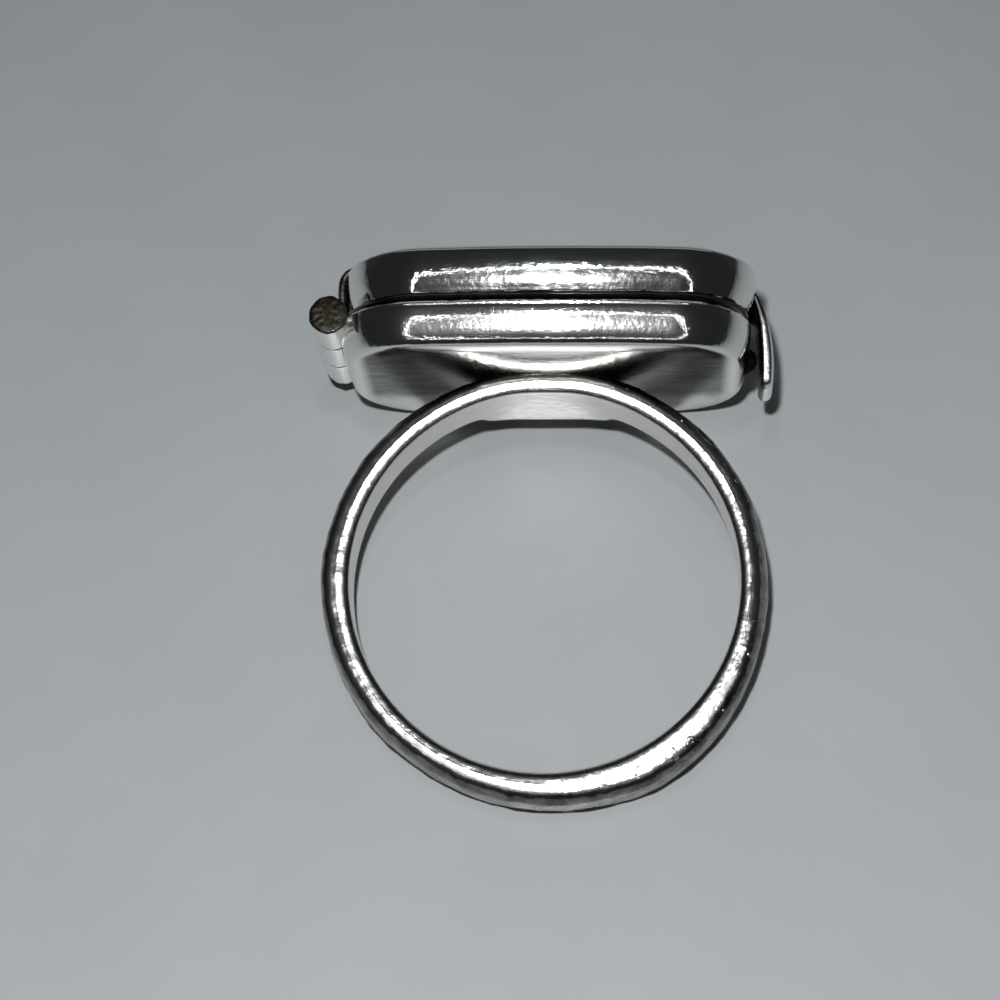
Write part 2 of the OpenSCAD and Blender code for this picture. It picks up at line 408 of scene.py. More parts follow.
def hinge_tarnish(t, place):
    _, y, _ = t.parts(place)
    return abs(y).smooth(3.70, 3.84, 0.0, 0.95).larger(breath(t, place))


def tongue_shade_and_tarnish(t, place):
    x, _, up = t.parts(place)
    # Painted shade at the root under the lid's edge, and on the side towards the box.
    root = up.smooth(11.2, 12.3, 0.0, 0.95)
    return root.larger(x.smooth(9.75, 9.9, 0.9, 0.0)).larger(breath(t, place))


def leaf_tarnish(t, place):
    return t.noise(place, 2.0, 3.0, 0.6, shift=2.0).smooth(0.35, 0.7, 0.95, 0.75)


print("Rules for the tarnish of the band, the hinge, the tongue and the leaf are written")

# %% [markdown]
# The finishes are the same silver with different histories. The box was polished on a wheel,
# which leaves lines along it and nearly a mirror. The band has hammer work under its polish, so
# it scatters more. The tongue and the knuckles were only filed, and the sawn ends of the hinge
# and the rough catch bead have a dark grain like broken stone.

# %% Finishes
WARM_SILVER = (0.90, 0.865, 0.835, 1)
SAWN_METAL, SAWN_STAIN = (0.075, 0.069, 0.054, 1), (0.014, 0.0125, 0.009, 1)
BROWN_STAIN = (0.05, 0.026, 0.024, 1)

ON_WHEEL = along(0.5, 9, 9)
BOX_SILVER = metal(
    "box_silver", box_tarnish_and_shade, ON_WHEEL, rough=(0.08, 0.12), ding=4.6, ding_um=10.0, haze=0.45,
)
LID_SILVER = metal(
    "lid_silver", box_tarnish_and_shade, ON_WHEEL, rough=(0.062, 0.1), ding=2.6, ding_um=13.0, haze=0.1,
)
BAND_SILVER = metal(
    "band_silver", band_tarnish_and_shade, across_the_band, rough=(0.17, 0.21), ding=2.2, ding_um=26.0,
    line_um=3.5, colour=WARM_SILVER,
)
BOX_INSIDE = metal(
    "box_inside", inside_tarnish, along(1, 1, 9), rough=(0.28, 0.42), ding=3.0, ding_um=6.0,
    line_um=3.0,
)
HINGE_SILVER = metal(
    "hinge_silver", hinge_tarnish, along(9, 0.6, 9), rough=(0.16, 0.24), ding=7.0, ding_um=5.0,
)
HINGE_GRAIN = metal(
    "hinge_grain", grain_tarnish, along(6, 6, 6), rough=(0.35, 0.5), ding=4.5, ding_um=40.0,
    line_um=5.0, colour=SAWN_METAL, stain_and_shade=SAWN_STAIN,
)
LEAF_SILVER = metal(
    "leaf_silver", leaf_tarnish, along(9, 0.6, 9), rough=(0.16, 0.26), ding=6.0, ding_um=8.0,
    stain_and_shade=BROWN_STAIN,
)
TONGUE_SILVER = metal(
    "tongue_silver", tongue_shade_and_tarnish, along(9, 9, 0.6), rough=(0.18, 0.23), ding=4.6,
    ding_um=10.0, line_um=2.0,
)

# %% [markdown]
# Every finished piece is treated alike: its faces are turned outwards, its mesh is laid down, it
# is shaded smooth up to a crease angle, it gets its materials and it rides on a body. A mirror finish
# shows a face that looks inwards as a black hole, so the volume's sign is measured, not guessed.


# %% Finish a piece
def outward(mesh):
    """Turns the faces of a closed mesh so that they enclose a positive volume."""
    mesh.calc_loop_triangles()
    corners = np.array([v.co for v in mesh.vertices])
    tri = corners[np.array([t.vertices for t in mesh.loop_triangles])]
    volume = np.einsum("ij,ij->i", tri[:, 0], np.cross(tri[:, 1], tri[:, 2])).sum() / 6
    if volume < 0:
        mesh.flip_normals()
    return abs(volume)


def finish_piece(name, mesh, body, materials, stands_for=(), crease=40):
    """Lays a mesh down as a piece. A crease of 180 degrees is smooth all over."""
    volume = outward(mesh)
    mesh.transform(LAID)
    if crease >= 180:
        mesh.shade_smooth()
    else:
        mesh.set_sharp_from_angle(angle=math.radians(crease))
    if not mesh.materials:
        for material in materials:
            mesh.materials.append(material)
    piece = bpy.data.objects.new(name, mesh)
    bpy.context.scene.collection.objects.link(piece)
    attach(piece, body)
    if stands_for:
        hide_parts(*stands_for)
    print(f"{name}: {len(mesh.loop_triangles)} triangles, {volume:.1f} cubic mm")


print(f"Pieces are laid down by {90 - math.degrees(LEAN):.2f} degrees and scaled to metres")

# %% [markdown]
# Pieces that aren't grown by Geometry Nodes are lists of points and faces. Most are tubes: rings
# of points, each joined to the next, with a flat cap where an end is open. Where a ring shrinks
# to one point, its doubles are merged, which closes the pole without a cap.


# %% Meshes from rings of points
def mesh_of(name, points, faces, indices=None):
    mesh = bpy.data.meshes.new(name)
    mesh.from_pydata([tuple(p) for p in points], [], faces)
    if indices is not None:
        mesh.polygons.foreach_set("material_index", indices)
    mesh.polygons.foreach_set("use_smooth", [True] * len(mesh.polygons))
    return mesh


def tube_faces(rings, sides, first_cap=False, last_cap=False):
    """Faces that join rings of points, with caps that look the same way as the wall."""
    faces = []
    for k in range(rings - 1):
        for i in range(sides):
            j = (i + 1) % sides
            faces.append((k * sides + i, k * sides + j, (k + 1) * sides + j, (k + 1) * sides + i))
    if first_cap:
        faces.append(tuple(range(sides))[::-1])
    if last_cap:
        faces.append(tuple(range((rings - 1) * sides, rings * sides)))
    return faces


def merged(mesh, distance=0.004):
    """Merges doubles and drops the faces that they leave without area."""
    bm = bmesh.new()
    bm.from_mesh(mesh)
    bmesh.ops.remove_doubles(bm, verts=bm.verts, dist=distance)
    bmesh.ops.dissolve_degenerate(bm, edges=bm.edges, dist=distance / 4)
    bm.to_mesh(mesh)
    bm.free()
    return mesh


print("A tube of 3 rings of 48 points has", len(tube_faces(3, 48, True, True)), "faces")

# %% [markdown]
# A Geometry Nodes tree is a rule with named sizes. It is written once, hung on an empty object as
# a modifier, given its sizes by each socket's identifier, and read back as a plain mesh. Nothing
# live is left on the piece.


# %% Grow a mesh from a rule
def rule_tree(name, inputs):
    """A Geometry Nodes tree with named inputs: its Tree and the wires of the inputs."""
    group = bpy.data.node_groups.new(name, "GeometryNodeTree")
    group.interface.new_socket("Geometry", in_out="OUTPUT", socket_type="NodeSocketGeometry")
    for label, kind in inputs.items():
        group.interface.new_socket(label, in_out="INPUT", socket_type="NodeSocket" + kind)
    t = Tree(group)
    print(f"{name}: {len(inputs)} named inputs")
    return t, dict(zip(inputs, t.node("NodeGroupInput").all()))


def close_tree(t, geometry, material):
    """Ends a tree: real mesh instead of instances, then the material."""
    real = t.node("GeometryNodeRealizeInstances", {}, {0: geometry})
    done = t.node("GeometryNodeSetMaterial", {}, {"Geometry": real, "Material": material})
    way_out = t.tree.nodes.new("NodeGroupOutput")
    t.tree.links.new(done.socket, way_out.inputs[0])


def grown(name, tree, sizes):
    """The plain mesh that a Geometry Nodes tree makes from named sizes."""
    source = bpy.data.objects.new(name + "_rule", bpy.data.meshes.new(name))
    bpy.context.scene.collection.objects.link(source)
    rule = source.modifiers.new("rule", "NODES")
    rule.node_group = tree
    for item in tree.interface.items_tree:
        if item.in_out == "INPUT" and item.name in sizes:
            rule[item.identifier] = sizes[item.name]
    seen = source.evaluated_get(bpy.context.evaluated_depsgraph_get())
    mesh = bpy.data.meshes.new_from_object(seen)
    source.modifiers.remove(rule)
    bpy.data.objects.remove(source)
    print(f"{name}: grown from {len(tree.nodes)} nodes, {len(mesh.vertices)} points")
    return mesh


# %% [markdown]
# The band was forged from a rod, bent round the finger and hammered, and flattened to a pad
# under the box. A circle swept with a fixed profile would miss the pad and the hammer. So a
# flat grid is bent by rule: one way round the finger, the other way round the section. Three
# curves give, at each angle from the top, the thickness, how much of the pad is there, and how
# round the outside is.

# %% The band's sizes and how they change round the finger
FINGER_R = 8.65
BAND = {
    "Finger radius": FINGER_R, "Thickness": 1.28, "Width": 2.7, "Pad width": 5.1,
    "Flat height": 8.55, "Box floor": BOX_FLOOR_Z + 0.55, "Dent depth": 0.07, "Wave depth": 0.06,
    "Steps round": 901, "Steps across": 97,
}
# Degrees round from the top, and a share: of the thickness, of the pad and of roundness.
THICKNESS = [
    (0, 0.95), (21, 0.94), (55, 0.98), (90, 0.98), (118, 1.07), (148, 1.30), (164, 1.20),
    (182, 1.10), (212, 0.98), (250, 1.01), (275, 1.05), (305, 1.02), (339, 0.94), (360, 0.95),
]
PAD = [
    (0, 1), (13, 0.98), (19, 0.4), (25, 0.04), (40, 0), (118, 0.02), (148, 0.13), (164, 0.08),
    (182, 0), (320, 0), (335, 0.04), (341, 0.4), (347, 0.98), (360, 1),
]
CROWN = [
    (0, 0.2), (50, 0.1), (70, 0.35), (88, 0.95), (105, 0.65), (125, 0.18), (150, 0.15),
    (180, 0.35), (215, 0.3), (270, 0.0), (320, 0.05), (360, 0.2),
]


def round_finger(shares, scale=1.0):
    """A table by degrees as the points of a curve from 0 to 1."""
    return [(degrees / 360, share * scale) for degrees, share in shares]


print("The band is thickest, mm:", round(BAND["Thickness"] * max(s for _, s in THICKNESS), 2))

# %% [markdown]
# The grid's X is the way round the finger and its Y is the way round the section. The pad is
# wider on the far side alone, because near the eye the band runs on as a plain round.

# %% The band's grid and its widths
t, size = rule_tree("band_rule", {
    "Finger radius": "Float", "Thickness": "Float", "Width": "Float", "Pad width": "Float",
    "Flat height": "Float", "Box floor": "Float", "Dent depth": "Float", "Wave depth": "Float",
    "Steps round": "Int", "Steps across": "Int", "Material": "Material",
})
grid = t.node("GeometryNodeMeshGrid", {}, {
    "Size X": 1.0, "Size Y": 1.0,
    "Vertices X": size["Steps round"], "Vertices Y": size["Steps across"],
})
at_x, at_y, _ = t.parts(t.node("GeometryNodeInputPosition"))
turn = at_x + 0.5
angle, walk = turn * TURN, abs(at_y) * 2
# The curve node holds values up to 1, so shares of thickness over 1 go in halved.
thick = t.curve(turn, round_finger(THICKNESS, 0.5)) * 2 * size["Thickness"]
wide = t.curve(turn, round_finger(PAD))
far = at_y.maths("GREATER_THAN", 0.0)
half = (size["Width"] + (size["Pad width"] - size["Width"]) * wide * far) * 0.5
crown = t.curve(turn, round_finger(CROWN))
print("The band's grid has", BAND["Steps round"] * BAND["Steps across"], "points")

# %% [markdown]
# Half of the section is walked in five legs, from the middle of the outside to the middle of
# the inside: the outside, its rounded edge, the flat side, the inner edge and the inside. The
# other half is its mirror. An ellipse would be quicker to write, but a forged band has a flat
# and two different edges, and each of them catches its own line of light.

# %% The band's section
INNER_WIDE, INNER_DEEP = 0.22, 0.45
SIDE_SWELL, CROWN_DROP = 0.012, 0.07
edge_wide = 0.5 + crown * 0.8
edge_deep = 0.60 + crown * 0.16
outside, flat, inside = walk.ramp(0, 0.25), walk.ramp(0.55, 0.68), walk.ramp(0.82, 1)
over = walk.ramp(0.25, 0.55) * (math.pi / 2)
under = walk.ramp(0.68, 0.82) * (math.pi / 2)
reach = (
    outside * (half - edge_wide) + over.maths("SINE") * edge_wide
    + (flat * math.pi).maths("SINE") * SIDE_SWELL
    - (1 - under.maths("COSINE")) * INNER_WIDE - inside * (half - INNER_WIDE)
)
depth = (
    thick - (1 - over.maths("COSINE")) * edge_deep - flat * (thick - edge_deep - INNER_DEEP)
    - under.maths("SINE") * INNER_DEEP
    - ((half - edge_wide) * outside) ** 2 * (1 - flat) * CROWN_DROP
)
along_y = at_y.maths("SIGN") * reach
lift = depth / thick
print("The section is walked in 5 legs on each side,", BAND["Steps across"] - 1, "steps in all")

# %% [markdown]
# A hammer leaves shallow hollows that meet in soft ridges. They are cells of a Voronoi pattern,
# read on a cylinder at the band's mean radius, and a slow wave under them is the unevenness of
# hand work. Both fade to little at the finger hole, which was formed on a smooth mandrel.

# %% Hammer marks
MEAN_R = 9.3
LEAST_WORKED = 0.15
flat_place = t.vector(angle.maths("SINE") * MEAN_R, along_y, angle.maths("COSINE") * MEAN_R)
wave = t.noise(flat_place, 0.28, 1.0, 0.4, shift=4.0).smooth(0.2, 0.8, -1.0, 0.35)
cell = t.node("ShaderNodeTexVoronoi", {"feature": "SMOOTH_F1"}, {
    "Vector": flat_place, "Scale": 1.5, "Smoothness": 0.1, "Randomness": 0.9,
})
worked = LEAST_WORKED + lift * (1 - LEAST_WORKED)
dent = (cell * cell - 0.25) * size["Dent depth"] * worked + wave * size["Wave depth"] * worked
print("Dents and waves reach, mm:", BAND["Dent depth"], BAND["Wave depth"])

# %% [markdown]
# The last step bends the section round the finger. Under the box the inside is held below a
# plane, with a soft minimum that blends the round into the pad. The band's top stops inside the
# tray's floor, so the two overlap as soldered metal does. The first and last rows fall together,
# so merging them closes the ring.

# %% Bend the band and grow it
PAD_TILT, PAD_BLEND = 0.065, 0.22
CLOSE_MM = 0.0005
radius = size["Finger radius"] + depth + dent * lift
pad_top = size["Flat height"] - along_y * PAD_TILT + radius - size["Finger radius"]
height = (radius * angle.maths("COSINE")).maths("SMOOTH_MIN", pad_top, PAD_BLEND)
height = height.maths("MINIMUM", size["Box floor"])
bent = t.vector(radius * angle.maths("SINE"), along_y * (1 + dent * 0.35), height)
placed = t.node("GeometryNodeSetPosition", {}, {"Geometry": grid, "Position": bent})
closed = t.node("GeometryNodeMergeByDistance", {}, {"Geometry": placed, "Distance": CLOSE_MM})
smooth = t.node("GeometryNodeSetShadeSmooth", {}, {"Geometry": closed})
close_tree(t, smooth, size["Material"])
band_mesh = grown("band", t.tree, {**BAND, "Material": BAND_SILVER})
finish_piece("band", band_mesh, "ring", [BAND_SILVER], ("ring_body",), 180)

# %% [markdown]
# Tray and lid are pressed from sheet over a block with an oblong outline. A box with bevelled
# edges would have flat sides and the same round everywhere. Here the outline runs round four
# corner axes with sides that bow a little, and each level of the wall stands at its own distance
# from them.

# %% The box's outline
BOX_HALF = (9.25, 5.7)
CORNER_R, SHEET = 3.8, 0.5
BOW = (math.radians(3), math.radians(4.5))
CORNER_STEPS, LONG_STEPS, END_STEPS = 38, 76, 28


def side_arc(half, crossing, bow):
    """Corner axis, and radius of the bowed side between two such axes."""
    radius = (crossing + CORNER_R * math.sin(bow)) / math.sin(bow)
    return half - CORNER_R * math.cos(bow) - radius * (1 - math.cos(bow)), radius


CORNER_Y = side_arc(BOX_HALF[1], BOX_HALF[0] - CORNER_R, BOW[1])[0]
CORNER_X, END_RADIUS = side_arc(BOX_HALF[0], CORNER_Y, BOW[0])
SIDE_RADIUS = side_arc(BOX_HALF[1], CORNER_X, BOW[1])[1]
print(f"Corner axes at {CORNER_X:.3f}, {CORNER_Y:.3f} mm, sides bowed on {SIDE_RADIUS:.0f} mm")


def outline():
    """Corner axis and outward direction at each point round the box, anticlockwise."""
    spots = []
    for k, (sx, sy) in enumerate([(1, 1), (-1, 1), (-1, -1), (1, -1)]):
        from_end = k % 2 == 0
        first, last = (BOW[0], BOW[1]) if from_end else (BOW[1], BOW[0])
        start, stop = k * math.pi / 2 + first, (k + 1) * math.pi / 2 - last
        for i in range(CORNER_STEPS):
            a = start + (stop - start) * i / CORNER_STEPS
            spots.append((sx * CORNER_X, sy * CORNER_Y, math.cos(a), math.sin(a)))
        steps, radius = (LONG_STEPS, SIDE_RADIUS) if from_end else (END_STEPS, END_RADIUS)
        back = radius - (BOX_HALF[1] if from_end else BOX_HALF[0])
        middle = (k + 1) * math.pi / 2
        for i in range(steps):
            a = middle + last * (2 * i / steps - 1)
            c, d = math.cos(a), math.sin(a)
            x = (radius - CORNER_R) * c - back * math.cos(middle)
            y = (radius - CORNER_R) * d - back * math.sin(middle)
            spots.append((x, y, c, d))
    return np.array(spots)


print("The outline has", len(outline()), "points")

# %% [markdown]
# One profile, swept round the outline, draws the outside, the rim and the inside in one go, so
# the sheet's thickness is in the mesh and no Solidify modifier is needed. A slow noise of two
# hundredths of a millimetre takes off the machined look. It starts from the clock unless it gets
# a seed, so it gets one, and each run gives the same ring. The faces from a given level on are
# the inside, which has its own duller finish.

# %% Sweep a profile round the outline
HAND_MADE = 0.02
noise.seed_set(7)


def swept(name, levels, inside_from, shift, break_at=None):
    """A closed shell. levels are (distance from the corner axes, height, shrink to the middle).
    No faces are drawn at break_at, where the outside ends on one line and the inside starts."""
    spots = outline()
    rings = []
    for reach, z, shrink in levels:
        x = spots[:, 0] - np.sign(spots[:, 0]) * np.minimum(shrink, np.abs(spots[:, 0]))
        y = spots[:, 1] * (1 - shrink / CORNER_Y)
        ring = np.stack([x + reach * spots[:, 2], y + reach * spots[:, 3], np.full(len(x), z)], 1)
        rings.append(ring + np.array(shift))
    points = np.concatenate(rings)
    points = points + HAND_MADE * np.array([noise.noise_vector(Vector(p) * 0.33) for p in points])
    n = len(spots)
    faces, inside = [], []
    for k, face in enumerate(tube_faces(len(rings), n)):
        level = k // n
        if level == break_at:
            continue
        faces.append(face)
        inside.append(1 if level >= inside_from else 0)
    print(f"{name}: {len(rings)} levels round {n} points")
    return mesh_of(name, points, faces, inside)


# %% [markdown]
# A pressed wall is never made of straight lines and true arcs alone. A squared ellipse serves
# where the metal turns over evenly, and a smooth line through a few rows, each of them a place
# that could be measured on the ring, serves where it wanders.


# %% Smooth lines for the profiles
def arc(middle, radii, start, end, steps, power=1.0):
    """Points on a quarter of an ellipse, or of a squarer curve with a power under 1."""
    made = []
    for i in range(steps + 1):
        a = math.radians(start + (end - start) * i / steps)
        c, s = math.cos(a), math.sin(a)
        made.append((
            middle[0] + radii[0] * math.copysign(abs(c) ** power, c),
            middle[1] + radii[1] * math.copysign(abs(s) ** power, s),
        ))
    return made


def drawn(rows, steps):
    """Rows of numbers joined by a smooth line, at even steps."""
    rows = np.array(rows, float)
    at = np.linspace(0, len(rows) - 1, steps)
    k = np.minimum(at.astype(int), len(rows) - 2)
    f = (at - k)[:, None]
    before, after = rows[np.maximum(k - 1, 0)], rows[np.minimum(k + 2, len(rows) - 1)]
    p, q = rows[k], rows[k + 1]
    bend = 2 * before - 5 * p + 4 * q - after + f * (3 * (p - q) + after - before)
    return p + 0.5 * f * (q - before + f * bend)


def wall(rows, steps):
    """Levels of a wall, from rows of inset from the widest line and height."""
    return [(CORNER_R - inset, z, 0.0) for inset, z in drawn(rows, steps)]


print("Between 0 and 1, on a line through 0, 1 and 4:", drawn([(0,), (1,), (4,)], 5)[1, 0].round(3))

# %% [markdown]
# The tray is the box's lower half, an open pan. Its wall is widest above the middle, slopes in
# gently below and turns sharply to a nearly flat underside: that slope is what holds the flash
# and the ring of light in the photograph. Above the widest line it draws in to a thin lip, with a
# small bead pressed along it, which shows as a thin bright line under the seam.

# %% Tray
TRAY_H, TRAY_BELLY, SEAM_IN, BULGE, FOOT = 2.85, 2.1, 0.45, 0.008, 0.43
RIM = CORNER_R - 0.9
LIP_EASE = 0.12
BEAD_LINE_Z, BEAD_LINE_WIDTH, BEAD_LINE_OUT = 2.36, 0.06, 0.032
FLAT_STEPS = 6
# Rows of inset from the widest line and height over BOX_FLOOR_Z, from the underside up.
TRAY_WALL = [
    (0.90, 0.46), (0.60, 0.515), (0.45, 0.60), (0.351, 0.714), (0.279, 0.85), (0.215, 1.0),
    (0.132, 1.26), (0.066, 1.55), (0.021, 1.81), (0.0, TRAY_BELLY),
]
TRAY_LINING = [(1.35, 0.95), (0.95, 1.07), (0.65, 1.33), (0.52, 1.62), (SHEET, TRAY_BELLY)]


def bowl(reach, lift, steps=14):
    """Levels of a floor that bulges down by BULGE, from its middle line out to a reach."""
    levels = [(0.0, lift, CORNER_Y * (1 - i / FLAT_STEPS)) for i in range(FLAT_STEPS)]
    for i in range(steps):
        out = reach * i / steps
        levels.append((out, lift + BULGE * (out / RIM) ** 2, 0.0))
    return levels


def neck(inset, steps, bead=0.0):
    """From the widest line in to the rim, with a small bead pressed along it."""
    r = CORNER_R - inset - SEAM_IN
    over = arc((r, TRAY_BELLY), (SEAM_IN, TRAY_H - TRAY_BELLY), 0, 86, steps, 0.85)
    levels = []
    for d, z in over[1:]:
        swell = math.exp(-(((z - BEAD_LINE_Z) / BEAD_LINE_WIDTH) ** 2))
        levels.append((d + bead * swell, z, 0.0))
    return levels


outer = bowl(RIM, FOOT) + wall(TRAY_WALL, 28) + neck(0.0, 44, BEAD_LINE_OUT)
lining = bowl(CORNER_R - TRAY_LINING[0][0], FOOT + SHEET) + wall(TRAY_LINING, 16) + neck(SHEET, 8)
lip = [
    (CORNER_R - SEAM_IN - LIP_EASE, TRAY_H, 0.0),
    (CORNER_R - SEAM_IN - SHEET + LIP_EASE, TRAY_H, 0.0),
]
tray_levels = outer + lip + lining[::-1]
tray_mesh = merged(swept("tray", tray_levels, len(outer), (0, 0, BOX_FLOOR_Z)))

# %% [markdown]
# The lid is the box's upper half, a shallow pillow: the same outline, a wall that draws in to the
# seam and a low dome. It could be the tray turned over, but its wall is steeper and it sits a
# little nearer the clasp, so it has its own rows. It is drawn from the seam over the top to the
# middle line, then back along the inside to the lip, which closes the shell at the seam.

# %% Lid
LID_H, LID_BELLY, LID_SHIFT, LID_GAP = 2.6, 1.85, 0.25, 0.025
LIP_IN, LIP_OUT = 0.14, 0.16
ROOF_STEPS = 8
LID_WALL = [
    (0.355, 0.015), (0.312, 0.06), (0.262, 0.20), (0.187, 0.42), (0.112, 0.70), (0.056, 0.98),
    (0.022, 1.25), (0.006, 1.52), (0.0, LID_BELLY),
]


def dome(inset, steps):
    """Levels from the widest line up over the top, on a curve a little squarer than round."""
    over = arc((0.0, LID_BELLY), (CORNER_R - inset, LID_H - LID_BELLY - inset), 0, 90, steps, 2 / 2.1)
    return [(max(d, 0.0), z, 0.0) for d, z in over[1:]]


roof = [(0.0, LID_H, CORNER_Y * i / ROOF_STEPS) for i in range(1, ROOF_STEPS + 1)]
ceiling = [(0.0, LID_H - SHEET, CORNER_Y * i / ROOF_STEPS) for i in range(ROOF_STEPS, 0, -1)]
outer = wall(LID_WALL, 24) + dome(0.0, 30) + roof
inner_wall = [(inset + SHEET, z) for inset, z in LID_WALL]
inner = ceiling + (wall(inner_wall, 10) + dome(SHEET, 14))[::-1]
lip = [
    (CORNER_R - SEAM_IN - SHEET + LIP_IN, 0.0, 0.0), (CORNER_R - SEAM_IN - LIP_OUT, 0.0, 0.0),
    outer[0],
]
lid_at = (LID_SHIFT, 0, SEAM_Z + LID_GAP)
lid_mesh = merged(swept("lid", outer + inner + lip, len(outer), lid_at, break_at=len(outer) - 1))

# %% [markdown]
# The hinge is a row of three knuckles on a pin: two on the tray and one on the lid. One tree
# draws a knuckle, sets copies of it along the pin and roughens its ends, and is used twice,
# once for each body. Cylinders with a hole would do for the shape, but the ends were left as
# they came from the saw, so they are granular, and the rule adds that to every copy.

# %% The rule for a knuckle
HINGE_AT = Vector((-9.6, 0.0, 11.45))
KNUCKLE_R, KNUCKLE_W, KNUCKLE_GAP, PIN_HOLE_R = 0.85, 2.6, 0.06, 0.43
ROUND_POINTS, SECTION_POINTS = 73, 61
# Small powers make the section nearly square. A sine under NOUGHT counts as nought, so that the
# first and last rows meet and the section closes.
SQUARE_ACROSS, SQUARE_ALONG, NOUGHT = 0.22, 0.12, 0.001

t, size = rule_tree("knuckle_rule", {
    "Radius": "Float", "Hole radius": "Float", "Length": "Float", "Count": "Int",
    "First": "Vector", "Spacing": "Vector", "Grain": "Float", "Material": "Material",
})
sheet = t.node("GeometryNodeMeshGrid", {}, {
    "Size X": 1.0, "Size Y": 1.0, "Vertices X": ROUND_POINTS, "Vertices Y": SECTION_POINTS,
})
at_x, at_y, _ = t.parts(t.node("GeometryNodeInputPosition"))
spin, path = (at_x + 0.5) * TURN, (at_y + 0.5) * TURN
cos_p, sin_p = path.maths("COSINE"), path.maths("SINE")
half_wall = (size["Radius"] - size["Hole radius"]) * 0.5
half_length = size["Length"] * 0.5
mid_wall = (size["Radius"] + size["Hole radius"]) * 0.5
away = mid_wall + half_wall * cos_p.maths("SIGN") * abs(cos_p) ** SQUARE_ACROSS
length = half_length * sin_p.maths("SIGN") * (abs(sin_p) - NOUGHT).larger(0.0) ** SQUARE_ALONG
tube = t.vector(away * spin.maths("COSINE"), length, away * spin.maths("SINE"))
shaped = t.node("GeometryNodeSetPosition", {}, {"Geometry": sheet, "Position": tube})
whole = t.node("GeometryNodeMergeByDistance", {}, {"Geometry": shaped, "Distance": CLOSE_MM})
print("A knuckle's walls are", round(KNUCKLE_R - PIN_HOLE_R, 2), "mm thick")

# %% [markdown]
# Copies are set on the points of a line and made real before they are roughened, so that no two
# of them have the same grain.

# %% Copies of the knuckle and their grain
line = t.node("GeometryNodeMeshLine", {"mode": "OFFSET"}, {
    "Count": size["Count"], "Start Location": size["First"], "Offset": size["Spacing"],
})
copies = t.node("GeometryNodeInstanceOnPoints", {}, {"Points": line, "Instance": whole})
real = t.node("GeometryNodeRealizeInstances", {}, {0: copies})
spot = t.node("GeometryNodeInputPosition")
normal = t.node("GeometryNodeInputNormal")
facing = abs(t.parts(normal)[1]).smooth(0.5, 0.9, 0.12, 1.0)
grain = (t.noise(spot, 5.5, 3.0, 0.6) - 0.5) * size["Grain"] * facing
push = t.node("ShaderNodeVectorMath", {"operation": "SCALE"}, {0: normal, "Scale": grain})
rough = t.node("GeometryNodeSetPosition", {}, {"Geometry": real, "Offset": push})
smooth = t.node("GeometryNodeSetShadeSmooth", {}, {"Geometry": rough})
close_tree(t, smooth, size["Material"])

knuckle = {
    "Radius": KNUCKLE_R, "Hole radius": PIN_HOLE_R, "Length": KNUCKLE_W - KNUCKLE_GAP,
    "Material": HINGE_SILVER,
}
outer_mesh = grown("outer_knuckles", t.tree, {
    **knuckle, "Count": 2, "First": HINGE_AT - Vector((0, KNUCKLE_W, 0)),
    "Spacing": (0, 2 * KNUCKLE_W, 0), "Grain": 0.10,
})
middle_mesh = grown("middle_knuckle", t.tree, {
    **knuckle, "Count": 1, "First": HINGE_AT, "Spacing": (0, 0, 0), "Grain": 0.04,
})

# %% [markdown]
# Lid and tray are cut away round the other half's knuckles, so that the lid can swing. A
# boolean does that here as a round file does on the bench: a cylinder whose radius is a tenth of
# a millimetre more than the knuckle's is taken away from the shell.


# %% File the clearances
def cylinder(radius, y0, y1, sides=64):
    """A closed cylinder round the hinge pin, between two places along the finger."""
    points = []
    for y in (y0, y1):
        for i in range(sides):
            a = TURN * i / sides
            points.append((HINGE_AT.x + radius * math.cos(a), y, HINGE_AT.z + radius * math.sin(a)))
    mesh = mesh_of("file", points, tube_faces(2, sides, first_cap=True, last_cap=True))
    outward(mesh)
    return mesh


def filed(mesh, cutters):
    """The mesh with some cutters taken away."""
    outward(mesh)
    work = bpy.data.objects.new("work", mesh)
    bpy.context.scene.collection.objects.link(work)
    tools = []
    for cutter in cutters:
        tool = bpy.data.objects.new("tool", cutter)
        bpy.context.scene.collection.objects.link(tool)
        cut = work.modifiers.new("cut", "BOOLEAN")
        cut.operation, cut.object, cut.solver = "DIFFERENCE", tool, "EXACT"
        tools.append(tool)
    seen = work.evaluated_get(bpy.context.evaluated_depsgraph_get())
    made = bpy.data.meshes.new_from_object(seen)
    for used in [work, *tools]:
        bpy.data.objects.remove(used)
    return made


CLEAR_R = KNUCKLE_R + 0.1
MIDDLE_END = KNUCKLE_W / 2
PAST_END = KNUCKLE_W * 1.5 + 1
tray_mesh = filed(tray_mesh, [cylinder(CLEAR_R, -MIDDLE_END - 0.03, MIDDLE_END + 0.03)])
lid_mesh = filed(lid_mesh, [
    cylinder(CLEAR_R, MIDDLE_END, PAST_END), cylinder(CLEAR_R, -PAST_END, -MIDDLE_END),
])
finish_piece("tray", tray_mesh, "ring", [BOX_SILVER, BOX_INSIDE])
finish_piece("lid_shell", lid_mesh, "lid", [LID_SILVER, BOX_INSIDE], ("lid",))
finish_piece("outer_knuckles", outer_mesh, "ring", [], crease=50)
finish_piece("middle_knuckle", middle_mesh, "lid", [], crease=50)

# %% [markdown]
# The tongue and the hinge leaf are both strips of sheet bent to a curve. A bent plane with a
# Solidify modifier would have sharp edges and one thickness. So a strip is a closed, squarish
# section that travels along a line in the side view, with its own half width and half thickness
# at each step. A round tip is a half width that falls to nothing as a circle does.


# %% A bent strip
SIDES = 48


